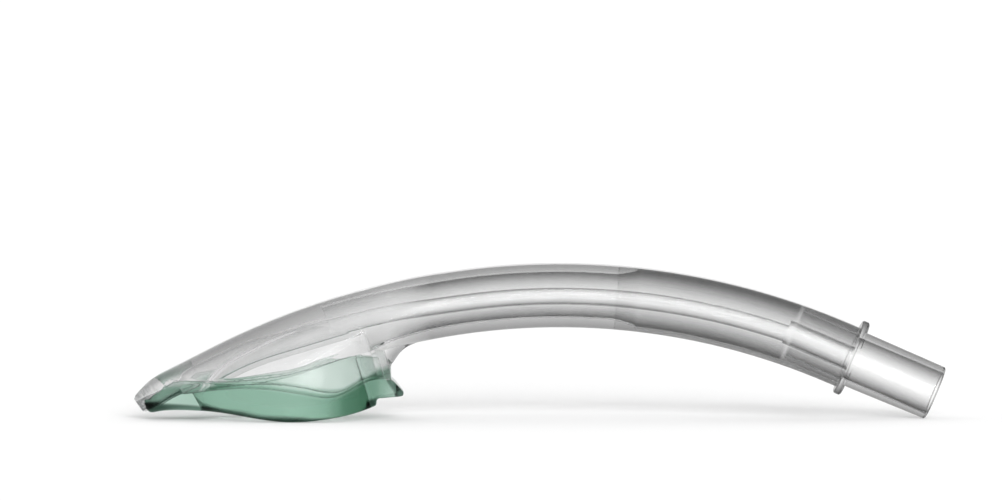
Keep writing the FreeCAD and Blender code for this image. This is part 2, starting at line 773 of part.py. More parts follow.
# The connector stands on the end of the stem, in line with the airway lumen.
bend_end = size("straight_angle")
facing = FreeCAD.Rotation(V(0, 1, 0), -bend_end)
stem_end = at(bend_end, STEM_FLAT, BEND) - forward(bend_end) * size("straight_end")
connector.Placement = FreeCAD.Placement(stem_end, facing)
doc.recompute()

# The middle of the footprint becomes the origin.
nodes = [connector, tube, mask_body, gel_cuff]
box = FreeCAD.BoundBox()
for node in nodes:
    box.add(node.Shape.optimalBoundingBox())
shift = V(-(box.XMin + box.XMax) / 2, -(box.YMin + box.YMax) / 2, -box.ZMin)
for node in nodes:
    node.Placement = FreeCAD.Placement(shift, FreeCAD.Rotation()).multiply(node.Placement)
doc.recompute()

faults = [item.Name for item in doc.Objects if {"Invalid", "Error"} & set(item.State)]
faults += [node.Label for node in nodes if node.Shape.isNull() or not node.Shape.isValid()]
if faults:
    raise RuntimeError(f"these objects failed: {faults}")
os.makedirs("parts", exist_ok=True)
for node in nodes:
    node.Shape.exportStep(f"parts/{node.Label}.step")
    bounds = node.Shape.optimalBoundingBox()
    low = ", ".join(f"{value:.2f}" for value in (bounds.XMin, bounds.YMin, bounds.ZMin))
    high = ", ".join(f"{value:.2f}" for value in (bounds.XMax, bounds.YMax, bounds.ZMax))
    solids = len(node.Shape.Solids)
    print(f"{node.Label}: {solids} solid, {node.Shape.Volume:.0f} mm3, ({low}) to ({high})")
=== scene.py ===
import logging
import math
from dataclasses import dataclass
from enum import Enum
from typing import ClassVar

import bpy
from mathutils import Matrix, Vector
from mathutils.bvhtree import BVHTree


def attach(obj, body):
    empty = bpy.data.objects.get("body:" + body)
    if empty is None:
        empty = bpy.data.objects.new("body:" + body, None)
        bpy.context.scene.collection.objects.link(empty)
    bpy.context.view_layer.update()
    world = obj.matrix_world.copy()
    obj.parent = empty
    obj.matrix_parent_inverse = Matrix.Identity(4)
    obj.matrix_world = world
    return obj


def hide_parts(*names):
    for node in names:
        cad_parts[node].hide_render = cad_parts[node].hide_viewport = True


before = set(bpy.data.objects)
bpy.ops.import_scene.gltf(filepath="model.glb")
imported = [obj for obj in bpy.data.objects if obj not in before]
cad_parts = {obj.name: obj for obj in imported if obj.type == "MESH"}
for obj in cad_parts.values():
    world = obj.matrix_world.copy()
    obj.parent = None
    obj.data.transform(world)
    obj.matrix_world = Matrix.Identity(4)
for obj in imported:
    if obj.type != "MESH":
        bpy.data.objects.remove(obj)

LOG = logging.getLogger("airway")
MM = 0.001
Colour = tuple[float, float, float]
Line = tuple[tuple[float, float], ...]
Socket = bpy.types.NodeSocket
Sockets = bpy.types.bpy_prop_collection

# The photograph's width and its scale in the side view.
PHOTO_WIDTH = 1002
PX_PER_MM = 3.65

# The sockets of a Mix node that hold its two colours and its result.
MIX_LOW, MIX_HIGH, MIX_RESULT = 6, 7, 2

# The middle of the flange's seat on the tube, and the way from there to the free end of the cone.
FLANGE_SEAT = (0.084464, 0.00455, 0.017038)
CONNECTOR_AXIS = (0.920505, 0.0, -0.390731)

# The line on the cuff where its thick base passes into the thinner flank: X and Z in metres.
CUFF_TOE, CUFF_HEEL, LINE_TOP = -0.112, -0.036, 0.02
GEL_LINE = (
    (CUFF_TOE, 0.0095), (-0.0988, 0.0097), (-0.0782, 0.0099), (-0.0659, 0.0081), (-0.0563, 0.0072),
    (-0.0522, 0.0086), (-0.0462, 0.0122), (-0.0426, 0.0141), (CUFF_HEEL, 0.015),
)

# How much of the heel's deep colour the thick base has along the cuff, drawn like the lines: LINE_TOP is
# all of it.
HEEL_SHARE = (
    (CUFF_TOE, 0.0), (-0.0700, 0.0), (-0.0620, 0.002), (-0.0560, 0.009), (-0.0520, 0.016), (-0.0460, 0.018),
    (-0.0440, 0.010), (-0.0420, 0.004), (CUFF_HEEL, 0.004),
)

# The upper border of the painted shade, a dark line, along the lower edge of the cuff.
EDGE_LINE = (
    (CUFF_TOE, 0.0046), (-0.0988, 0.0046), (-0.0900, 0.0039), (-0.0823, 0.0028), (-0.0768, 0.0018),
    (-0.0713, 0.0013), (-0.0659, 0.0012), (-0.0560, 0.0014), (-0.0490, 0.0030), (-0.0470, 0.0056),
    (-0.0448, 0.0064), (CUFF_HEEL, 0.0062),
)

# Behind TAIL_START the cuff is only its tail: a point on the tail's upper edge, the way out of it, and
# how far inside that edge the dark line of painted shade begins and is full.
TAIL_START = -0.0421
TAIL_EDGE = (-0.0408, 0.0, 0.011)
TAIL_OUT = (0.854, 0.0, 0.52)
TAIL_LINE = (-0.0013, -0.0006)


class Grain(Enum):
    """How long and how fine the flow marks of a moulding are: turns along the bend, marks per metre."""

    DRAWN = (10.0, 900.0)
    MOULDED = (26.0, 420.0)


@dataclass
class Sheet:
    """A node tree, with one short call for each kind of node that effects and finishes are laid out from."""

    tree: bpy.types.NodeTree
    place: bpy.types.Node | None = None

    def node(self, kind: str) -> bpy.types.Node:
        """Add a node.

        Args:
            kind: Its Blender type.

        Returns:
            The node.
        """
        return self.tree.nodes.new(kind)

    def feed(self, socket: Socket, value: Socket | float | tuple) -> None:
        """Link a result to an input, or set a fixed value on it.

        Args:
            socket: The input.
            value: The result or the fixed value.
        """
        if isinstance(value, Socket):
            self.tree.links.new(value, socket)
        else:
            socket.default_value = value

    def here(self, output: str = "Object") -> Socket:
        """Where the point lies or which way it faces, from the tree's one texture coordinate node.

        Args:
            output: Object for the place on the object, Normal for the way its surface faces, and
                Generated for the direction in the surround.

        Returns:
            The vector.
        """
        if self.place is None:
            self.place = self.node("ShaderNodeTexCoord")
        return self.place.outputs[output]

    def maths(
        self, operation: str, first: Socket | float, second: Socket | float, clamp: bool = False
    ) -> Socket:
        """One step of arithmetic on two numbers.

        Args:
            operation: What is done with them.
            first: The first number.
            second: The second number.
            clamp: Whether the result stays between 0 and 1.

        Returns:
            The result.
        """
        made = self.node("ShaderNodeMath")
        made.operation = operation
        made.use_clamp = clamp
        self.feed(made.inputs[0], first)
        self.feed(made.inputs[1], second)
        return made.outputs[0]

    def vector(self, operation: str, first: Socket | tuple, second: Socket | tuple | None = None) -> Socket:
        """One step of arithmetic on vectors, or a measure of them.

        Args:
            operation: What is done with them. SCALE takes a number as its second.
            first: The first vector.
            second: The second, if there is one.

        Returns:
            The number for LENGTH, DISTANCE and DOT_PRODUCT, and the vector for the others.
        """
        made = self.node("ShaderNodeVectorMath")
        made.operation = operation
        self.feed(made.inputs[0], first)
        if second is not None:
            self.feed(made.inputs["Scale" if operation == "SCALE" else 1], second)
        measured = operation in ("LENGTH", "DISTANCE", "DOT_PRODUCT")
        return made.outputs["Value" if measured else "Vector"]

    def combine(self, x: Socket | float, y: Socket | float, z: Socket | float) -> Socket:
        """A vector made of three numbers.

        Args:
            x: Its X.
            y: Its Y.
            z: Its Z.

        Returns:
            The vector.
        """
        made = self.node("ShaderNodeCombineXYZ")
        for socket, value in zip(made.inputs, (x, y, z)):
            self.feed(socket, value)
        return made.outputs[0]

    def split(self, vector: Socket) -> tuple[Socket, Socket, Socket]:
        """The three numbers of a vector.

        Args:
            vector: The vector.

        Returns:
            Its X, Y and Z.
        """
        made = self.node("ShaderNodeSeparateXYZ")
        self.feed(made.inputs[0], vector)
        return made.outputs["X"], made.outputs["Y"], made.outputs["Z"]

    def reach(self, axis_x: Socket, axis_z: Socket) -> Socket:
        """How far the point lies from an axis that runs across the object, along Y.

        Args:
            axis_x: The axis's X.
            axis_z: The axis's Z.

        Returns:
            The distance in metres.
        """
        x, _, z = self.split(self.here())
        return self.vector("DISTANCE", self.combine(x, 0.0, z), self.combine(axis_x, 0.0, axis_z))

    def remap(
        self, value: Socket, low: Socket | float = 0.0, high: Socket | float = 1.0,
        to_low: float = 0.0, to_high: float = 1.0,
    ) -> Socket:
        """Stretch one range to another, and stay inside it.

        Args:
            value: The number.
            low: Where the first range starts.
            high: Where it ends.
            to_low: Where the second range starts.
            to_high: Where it ends.

        Returns:
            The number in the second range.
        """
        made = self.node("ShaderNodeMapRange")
        self.feed(made.inputs["Value"], value)
        self.feed(made.inputs["From Min"], low)
        self.feed(made.inputs["From Max"], high)
        self.feed(made.inputs["To Min"], to_low)
        self.feed(made.inputs["To Max"], to_high)
        return made.outputs[0]

    def noise(self, vector: Socket, scale: Socket | float, detail: float) -> Socket:
        """Soft random values over the surface.

        Args:
            vector: The place they are read at.
            scale: How fine they are.
            detail: How many finer layers are added.

        Returns:
            A number from 0 to 1.
        """
        made = self.node("ShaderNodeTexNoise")
        self.feed(made.inputs["Vector"], vector)
        self.feed(made.inputs["Scale"], scale)
        self.feed(made.inputs["Detail"], detail)
        return made.outputs[0]

    def drawn_line(self, line: Line, along: Socket) -> Socket:
        """The height of a drawn line over the length of the cuff.

        Args:
            line: The X and Z of the line's points, from toe to heel.
            along: How far along the cuff the point lies, from 0 at the toe to 1 at the heel.

        Returns:
            The height as a share of LINE_TOP.
        """
        made = self.node("ShaderNodeFloatCurve")
        points = made.mapping.curves[0].points
        spots = [((x - CUFF_TOE) / (CUFF_HEEL - CUFF_TOE), z / LINE_TOP) for x, z in line]
        points[0].location = spots[0]
        points[-1].location = spots[-1]
        for spot in spots[1:-1]:
            points.new(*spot)
        made.mapping.update()
        self.feed(made.inputs["Value"], along)
        return made.outputs[0]

    def mix(self, factor: Socket, low: Socket | Colour, high: Socket | Colour, blend: str = "MIX") -> Socket:
        """A mix of two colours.

        Args:
            factor: The share of the second.
            low: The first colour.
            high: The second colour.
            blend: How the second is laid over the first.

        Returns:
            The colour.
        """
        made = self.node("ShaderNodeMix")
        made.data_type = "RGBA"
        made.blend_type = blend
        self.feed(made.inputs[0], factor)
        for place, colour in ((MIX_LOW, low), (MIX_HIGH, high)):
            self.feed(made.inputs[place], colour if isinstance(colour, Socket) else (*colour, 1.0))
        return made.outputs[MIX_RESULT]

    def effect(self, effect: "Effect", values: dict[str, float] | None = None) -> Sockets:
        """Place a shared effect.

        Args:
            effect: The effect.
            values: What its inputs get here, by name. The others keep their own value.

        Returns:
            The effect's outputs.
        """
        made = self.node("ShaderNodeGroup")
        made.node_tree = effect.group()
        for name, value in (values or {}).items():
            made.inputs[name].default_value = value
        return made.outputs


@dataclass(frozen=True)
class Effect:
    """A shared effect: a node group, built once, that each finish places with its own values."""

    name: ClassVar[str]
    inputs: ClassVar[dict[str, float]]
    outputs: ClassVar[tuple[str, ...]]

    def draw(self, sheet: Sheet, given: Sockets) -> tuple[Socket, ...]:
        """Lay out the nodes of the group.

        Args:
            sheet: The group's own sheet.
            given: The group's inputs, by name.

        Returns:
            What the group puts out, in the order of its outputs.
        """
        raise NotImplementedError

    def group(self) -> bpy.types.NodeTree:
        """The group of the effect, which is built at the first call.

        Returns:
            The group.
        """
        tree = bpy.data.node_groups.get(self.name)
        if tree is not None:
            return tree
        tree = bpy.data.node_groups.new(self.name, "ShaderNodeTree")
        for name, value in self.inputs.items():
            socket = tree.interface.new_socket(name=name, in_out="INPUT", socket_type="NodeSocketFloat")
            socket.default_value = value
        for name in self.outputs:
            tree.interface.new_socket(name=name, in_out="OUTPUT", socket_type="NodeSocketFloat")
        given, put = tree.nodes.new("NodeGroupInput"), tree.nodes.new("NodeGroupOutput")
        for name, result in zip(self.outputs, self.draw(Sheet(tree), given.outputs)):
            tree.links.new(result, put.inputs[name])
        return tree


@dataclass(frozen=True)
class BendStreaks(Effect):
    """Flow marks that follow the bend of the stem, as a mask and as a height."""

    name = "bend_streaks"
    inputs = {"Axis X": 0.0, "Axis Z": 0.0, "Length": 12.0, "Fineness": 900.0, "Contrast": 0.5}
    outputs = ("Mask", "Height")
    detail: float = 3.0
    faint: float = 0.35
    full: float = 0.65

    def draw(self, sheet: Sheet, given: Sockets) -> tuple[Socket, ...]:
        """Stretch fine noise along the bend, round its axis.

        Args:
            sheet: The group's own sheet.
            given: The group's inputs, by name.

        Returns:
            The mask and the height.
        """
        axis = sheet.combine(given["Axis X"], 0.0, given["Axis Z"])
        x, y, z = sheet.split(sheet.vector("SUBTRACT", sheet.here(), axis))
        out = sheet.vector("LENGTH", sheet.combine(x, 0.0, z))
        spot = sheet.combine(
            sheet.maths("MULTIPLY", sheet.maths("ARCTAN2", x, z), given["Length"]),
            sheet.maths("MULTIPLY", out, given["Fineness"]),
            sheet.maths("MULTIPLY", y, given["Fineness"]),
        )
        grain = sheet.noise(spot, 1.0, self.detail)
        marks = sheet.remap(grain, self.faint, self.full)
        return sheet.maths("MULTIPLY", marks, given["Contrast"]), grain


@dataclass(frozen=True)
class SoftMottle(Effect):
    """Soft clouds and fine pits, as any moulded surface shows them."""

    name = "soft_mottle"
    inputs = {"Cloud Size": 60.0, "Pit Size": 1400.0}
    outputs = ("Clouds", "Pits", "Height")
    cloud_detail: float = 2.0
    pit_detail: float = 1.0

    def draw(self, sheet: Sheet, given: Sockets) -> tuple[Socket, ...]:
        """Lay one coarse and one fine noise over the surface.

        Args:
            sheet: The group's own sheet.
            given: The group's inputs, by name.

        Returns:
            The clouds, the pits and the height of both together.
        """
        clouds = sheet.noise(sheet.here(), given["Cloud Size"], self.cloud_detail)
        pits = sheet.noise(sheet.here(), given["Pit Size"], self.pit_detail)
        return clouds, pits, sheet.maths("ADD", clouds, pits)


@dataclass(frozen=True)
class NearChannel(Effect):
    """The wall of the narrow gastric channel, where the painted edge shade is weaker."""

    name = "near_channel"
    inputs = {"Axis X": 0.0, "Axis Z": 0.0, "Bend": 0.193, "Beside": -0.0072, "Reach": 0.0042}
    outputs = ("Mask",)

    def draw(self, sheet: Sheet, given: Sockets) -> tuple[Socket, ...]:
        """Mark what lies close to the channel's curved middle line.

        Args:
            sheet: The group's own sheet.
            given: The group's inputs, by name.

        Returns:
            A mask that is 1 on the wall of the channel and 0 elsewhere.
        """
        _, y, _ = sheet.split(sheet.here())
        rise = sheet.maths("SUBTRACT", sheet.reach(given["Axis X"], given["Axis Z"]), given["Bend"])
        aside = sheet.maths("SUBTRACT", y, given["Beside"])
        away = sheet.vector("LENGTH", sheet.combine(rise, aside, 0.0))
        return (sheet.maths("LESS_THAN", away, given["Reach"]),)


@dataclass(frozen=True)
class ConnectorZones(Effect):
    """The bond between spigot and tube, and the flange, found from the connector's axis."""

    name = "connector_zones"
    inputs = {"Bond Radius": 0.0073, "Bond Start": -0.0171, "Flange Depth": 0.0022}
    outputs = ("Bond", "Flange")
    seat: float = 0.0
    seat_slack: float = 0.1 * MM

    def draw(self, sheet: Sheet, given: Sockets) -> tuple[Socket, ...]:
        """Measure along the axis from the flange's seat, and out from it.

        Args:
            sheet: The group's own sheet.
            given: The group's inputs, by name.

        Returns:
            A mask of the bond and a mask of the flange.
        """
        local = sheet.vector("SUBTRACT", sheet.here(), FLANGE_SEAT)
        along = sheet.vector("DOT_PRODUCT", local, CONNECTOR_AXIS)
        out = sheet.vector("DISTANCE", local, sheet.vector("SCALE", CONNECTOR_AXIS, along))
        near = sheet.maths("LESS_THAN", out, given["Bond Radius"])
        sleeve = sheet.maths(
            "MULTIPLY",
            sheet.maths("GREATER_THAN", along, given["Bond Start"]),
            sheet.maths("LESS_THAN", along, self.seat),
        )
        flange = sheet.maths(
            "MULTIPLY",
            sheet.maths("GREATER_THAN", along, self.seat - self.seat_slack),
            sheet.maths("LESS_THAN", along, given["Flange Depth"]),
        )
        return sheet.maths("MULTIPLY", near, sleeve), flange


@dataclass(frozen=True)
class CrownMask(Effect):
    """The skin whose painted edge shade stays strong: the whole stem, and the mask's crown close to its
    outline.
    """

    name = "crown_mask"
    inputs = {
        "Stem From": -0.042, "Blend Length": 0.012, "Axis X": 0.0, "Axis Z": 0.0,
        "Fade From": 0.1945, "Fade To": 0.2015,
    }
    outputs = ("Mask",)
    lean_from: float = 0.1
    lean_to: float = 0.6

    def draw(self, sheet: Sheet, given: Sockets) -> tuple[Socket, ...]:
        """Mark the stem, and skin that faces up and lies far out from the axis of the bend.

        Args:
            sheet: The group's own sheet.
            given: The group's inputs, by name.

        Returns:
            A mask that is 1 on the stem and along the crown, and 0 inside the mask.
        """
        x, _, _ = sheet.split(sheet.here())
        _, _, lean = sheet.split(sheet.here("Normal"))
        past = sheet.maths("SUBTRACT", x, given["Stem From"])
        stem = sheet.maths("DIVIDE", past, given["Blend Length"], clamp=True)
        up = sheet.remap(lean, self.lean_from, self.lean_to)
        out = sheet.reach(given["Axis X"], given["Axis Z"])
        skin = sheet.remap(out, given["Fade From"], given["Fade To"])
        return (sheet.maths("MAXIMUM", sheet.maths("MULTIPLY", up, skin), stem),)


@dataclass(frozen=True)
class ThroatShade(Effect):
    """Painted shade in the hollow under the stem, where the shell is thick and seen edge on."""

    name = "throat_shade"
    inputs = {"Centre X": -0.0341, "Centre Z": 0.013, "Dark To": 0.0076, "Clear From": 0.0104}
    outputs = ("Mask",)

    def draw(self, sheet: Sheet, given: Sockets) -> tuple[Socket, ...]:
        """Fade the painted shade out from the hollow's round edge.

        Args:
            sheet: The group's own sheet.
            given: The group's inputs, by name.

        Returns:
            A mask that is 1 on the hollow's edge and fades into the shell.
        """
        out = sheet.reach(given["Centre X"], given["Centre Z"])
        return (sheet.remap(out, given["Dark To"], given["Clear From"], 1.0, 0.0),)


@dataclass(frozen=True)
class NoseSpecks(Effect):
    """The frosted, speckled nose of the mask."""

    name = "nose_specks"
    inputs = {"Nose From": -0.1035, "Nose Tip": -0.1085, "Speck Size": 1300.0}
    outputs = ("Mask",)
    detail: float = 1.0
    dim: float = 0.4
    bright: float = 0.6
    least: float = 0.35

    def draw(self, sheet: Sheet, given: Sockets) -> tuple[Socket, ...]:
        """Let fine specks grow stronger towards the tip.

        Args:
            sheet: The group's own sheet.
            given: The group's inputs, by name.

        Returns:
            A mask that runs from 0 behind the nose to a fine speckle at the tip.
        """
        x, _, _ = sheet.split(sheet.here())
        near = sheet.remap(x, given["Nose From"], given["Nose Tip"])
        specks = sheet.noise(sheet.here(), given["Speck Size"], self.detail)
        return (sheet.maths("MULTIPLY", near, sheet.remap(specks, self.dim, self.bright, self.least)),)


@dataclass(frozen=True)
class GelDepth(Effect):
    """How thick the gel of the cuff is, below lines that dip under the bowl, and where painted shade darkens
    its edges.
    """

    name = "gel_depth"
    inputs = {"Softness": 0.002, "Edge Softness": 0.0008}
    outputs = ("Mask", "Edge", "Heel")

    def draw(self, sheet: Sheet, given: Sockets) -> tuple[Socket, ...]:
        """Compare the point's height with the drawn lines.

        Args:
            sheet: The group's own sheet.
            given: The group's inputs, by name.

        Returns:
            The mask of the thick base, that of the painted shade along the edges, and the share of the
            heel's colour.
        """
        x, _, _ = sheet.split(sheet.here())
        along = sheet.remap(x, CUFF_TOE, CUFF_HEEL)
        base = self._below(sheet, GEL_LINE, along, given["Softness"])
        # The painted shade along the cuff's lower edge and the tail's upper edge.
        keel_painted_shade = self._below(sheet, EDGE_LINE, along, given["Edge Softness"])
        edge = sheet.maths("MAXIMUM", self._tail(sheet, x), keel_painted_shade)
        return base, edge, sheet.drawn_line(HEEL_SHARE, along)

    @staticmethod
    def _below(sheet: Sheet, line: Line, along: Socket, softness: Socket) -> Socket:
        """A mask of what lies below a drawn line.

        Args:
            sheet: The group's own sheet.
            line: The line.
            along: How far along the cuff the point lies.
            softness: The height over which the mask changes from 0 to 1.

        Returns:
            The mask.
        """
        _, _, z = sheet.split(sheet.here())
        height = sheet.maths("MULTIPLY", sheet.drawn_line(line, along), LINE_TOP)
        share = sheet.maths("DIVIDE", sheet.maths("SUBTRACT", height, z), softness)
        return sheet.maths("ADD", share, 0.5, clamp=True)

    @staticmethod
    def _tail(sheet: Sheet, x: Socket) -> Socket:
        """A mask of the painted shade along the upper edge of the cuff's tail.

        Args:
            sheet: The group's own sheet.
            x: The point's X.

        Returns:
            The mask.
        """
        out = sheet.vector("DOT_PRODUCT", sheet.vector("SUBTRACT", sheet.here(), TAIL_EDGE), TAIL_OUT)
        rear = sheet.maths("GREATER_THAN", x, TAIL_START)
        return sheet.maths("MULTIPLY", sheet.remap(out, *TAIL_LINE), rear)


@dataclass(frozen=True, kw_only=True)
class Finish:
    """What the clear plastics and the gel share: they are seen through, and tint what is behind them."""

    name: str
    body_tint: Colour
    density: float
    roughness: float
    roughness_range: tuple[float, float]
    blend: float
    inner_edge_shade: float
    coat: float
    coat_roughness: float
    bump: float
    ior: float = 1.06
    relief: float = 0.2 * MM

    def paint(self, sheet: Sheet, facing: Socket) -> tuple[Socket, Socket, Socket]:
        """Lay out what varies over the surface.

        Args:
            sheet: The material's sheet.
            facing: How much the surface is seen edge on.

        Returns:
            The colour, the clouds that change the gloss, and the height of the relief.
        """
        raise NotImplementedError

    def build(self) -> bpy.types.Material:
        """Make the material.

        Returns:
            The material.
        """
        material = bpy.data.materials.new(self.name)
        material.use_nodes = True
        sheet = Sheet(material.node_tree)
        shader = sheet.tree.nodes["Principled BSDF"]
        shader.inputs["Transmission Weight"].default_value = 1.0
        shader.inputs["IOR"].default_value = self.ior
        shader.inputs["Coat Weight"].default_value = self.coat
        shader.inputs["Coat Roughness"].default_value = self.coat_roughness
        # Layer Weight's facing sets how much painted edge shade goes into the base colour.
        weight = sheet.node("ShaderNodeLayerWeight")
        weight.inputs["Blend"].default_value = self.blend
        colour, clouds, height = self.paint(sheet, weight.outputs["Facing"])
        least, most = (share * self.roughness for share in self.roughness_range)
        sheet.feed(shader.inputs["Base Color"], colour)
        sheet.feed(shader.inputs["Roughness"], sheet.remap(clouds, to_low=least, to_high=most))
        bump = sheet.node("ShaderNodeBump")
        bump.inputs["Strength"].default_value = self.bump
        bump.inputs["Distance"].default_value = self.relief
        sheet.feed(bump.inputs["Height"], height)
        sheet.feed(shader.inputs["Normal"], bump.outputs[0])
        inside = sheet.node("ShaderNodeVolumeAbsorption")
        inside.inputs["Color"].default_value = (*self.body_tint, 1.0)
        inside.inputs["Density"].default_value = self.density
        sheet.feed(sheet.tree.nodes["Material Output"].inputs["Volume"], inside.outputs[0])
        return material


@dataclass(frozen=True, kw_only=True)
class ClearPlastic(Finish):
    """A clear moulded plastic whose colour carries painted shade, darkest where it is seen edge on."""

    face: Colour
    edge: Colour
    body_tint: Colour = (0.8, 0.8, 0.8)
    roughness: float = 0.03
    roughness_range: tuple[float, float] = (0.6, 1.6)
    blend: float = 0.75
    inner_edge_shade: float = 0.16
    coat: float = 0.06
    coat_roughness: float = 0.08
    bump: float = 0.05
    streak: float = 0.3
    streak_tint: Colour = (0.86, 0.87, 0.87)
    grain: Grain = Grain.DRAWN
    channel_edge_shade: float = 0.4
    bond_edge_shade: float = 0.4
    # Painted shade on the flange's rim, seen edge on.
    flange_painted_shade: Colour = (0.03, 0.03, 0.03)
    nose: Colour = (0.42, 0.43, 0.43)
    # The colour of the painted shade in the hollow under the stem.
    throat_painted_shade: Colour = (0.4, 0.405, 0.405)
    bend_axis: tuple[float, float] = (0.0053, -0.15892)

    def paint(self, sheet: Sheet, facing: Socket) -> tuple[Socket, Socket, Socket]:
        """Lay out the painted edge shade, the flow marks, the frosted nose and the painted shade under the
        stem.

        Args:
            sheet: The material's sheet.
            facing: How much the surface is seen edge on.

        Returns:
            The colour, the clouds that change the gloss, and the height of the relief.
        """
        zones = sheet.effect(ConnectorZones())
        # Painted shade: the edge colour, darker on the flange, goes in where the surface is seen edge on.
        edge = sheet.mix(zones["Flange"], self.edge, self.flange_painted_shade)
        colour = sheet.mix(self._edge_shade_weight(sheet, facing, zones["Bond"]), self.face, edge)
        length, fineness = self.grain.value
        marks = {"Length": length, "Fineness": fineness, "Contrast": self.streak}
        streaks = sheet.effect(BendStreaks(), self._axis() | marks)
        colour = sheet.mix(streaks["Mask"], colour, self.streak_tint, "MULTIPLY")
        colour = sheet.mix(sheet.effect(NoseSpecks())["Mask"], colour, self.nose)
        # Painted shade in the hollow under the stem.
        colour = sheet.mix(sheet.effect(ThroatShade())["Mask"], colour, self.throat_painted_shade)
        return colour, sheet.effect(SoftMottle())["Clouds"], streaks["Height"]

    def _axis(self) -> dict[str, float]:
        """The axis of the stem's bend, as the effects take it."""
        return {"Axis X": self.bend_axis[0], "Axis Z": self.bend_axis[1]}

    def _edge_shade_weight(self, sheet: Sheet, facing: Socket, bond: Socket) -> Socket:
        """How dark the painted edge shade is: weaker in the channel, inside the mask and at the bond.

        Args:
            sheet: The material's sheet.
            facing: How much the surface is seen edge on.
            bond: The mask of the bond.

        Returns:
            The share of the painted edge shade's colour.
        """
        channel = sheet.effect(NearChannel(), self._axis())["Mask"]
        crown = sheet.effect(CrownMask(), self._axis())["Mask"]
        weights = (
            sheet.remap(channel, to_low=1.0, to_high=self.channel_edge_shade),
            sheet.remap(crown, to_low=self.inner_edge_shade),
            sheet.remap(bond, to_low=1.0, to_high=self.bond_edge_shade),
        )
        share = facing
        for weight in weights:
            share = sheet.maths("MULTIPLY", share, weight)
        return share


@dataclass(frozen=True, kw_only=True)
class GreenGel(Finish):
    """A soft translucent elastomer that gets deeper in colour where it is thicker, with painted shade at its
    edges.
    """

    thin: Colour
    thick: Colour
    heel: Colour
    # Painted shade: a near-black line along the lower edge, and a dark green where the gel is seen edge on.
    keel_painted_shade: Colour
    edge: Colour
    roughness: float = 0.05
    roughness_range: tuple[float, float] = (0.8, 1.4)
    blend: float = 0.7
    inner_edge_shade: float = 0.2
    coat: float = 0.08
    coat_roughness: float = 0.25
    bump: float = 0.08
    cloud_size: float = 90.0
    cloud_tint: Colour = (0.93, 0.97, 0.95)

    def paint(self, sheet: Sheet, facing: Socket) -> tuple[Socket, Socket, Socket]:
        """Lay out the thin flank, the thick base, the painted shade along the edges and the clouds.

        Args:
            sheet: The material's sheet.
            facing: How much the surface is seen edge on.

        Returns:
            The colour, the clouds that change the gloss, and the height of the relief.
        """
        depth = sheet.effect(GelDepth())
        base = sheet.mix(depth["Heel"], self.thick, self.heel)
        colour = sheet.mix(depth["Mask"], self.thin, base)
        # Painted shade: the near-black line along the edges, then the dark green where the gel is seen edge
        # on.
        colour = sheet.mix(depth["Edge"], colour, self.keel_painted_shade)
        lines = sheet.maths("MULTIPLY", facing, sheet.remap(depth["Edge"], to_low=self.inner_edge_shade))
        colour = sheet.mix(lines, colour, self.edge)
        mottle = sheet.effect(SoftMottle(), {"Cloud Size": self.cloud_size})
        colour = sheet.mix(mottle["Clouds"], colour, self.cloud_tint, "MULTIPLY")
        return colour, mottle["Clouds"], mottle["Height"]


CLEAR_BODY = ClearPlastic(
    name="clear_body_finish",
    face=(0.985, 0.985, 0.985),
    edge=(0.22, 0.22, 0.22),
    density=60.0,
    grain=Grain.MOULDED,
)
CLEAR_STEM = ClearPlastic(
    name="clear_stem_finish",
    face=(0.985, 0.985, 0.985),
    edge=(0.2, 0.2, 0.2),
    density=90.0,
)
CLEAR_HARD = ClearPlastic(
    name="clear_hard_finish",
    face=(0.995, 0.995, 0.995),
    edge=(0.2, 0.2, 0.2),
    density=25.0,
    streak=0.1,
)
GREEN_GEL = GreenGel(
    name="green_gel_finish",
    thin=(0.985, 0.995, 0.99),
    thick=(0.6, 0.74, 0.67),
    heel=(0.24, 0.4, 0.31),
    keel_painted_shade=(0.01, 0.024, 0.017),
    edge=(0.05, 0.1, 0.075),
    body_tint=(0.17, 0.43, 0.32),
    density=16.0,
)


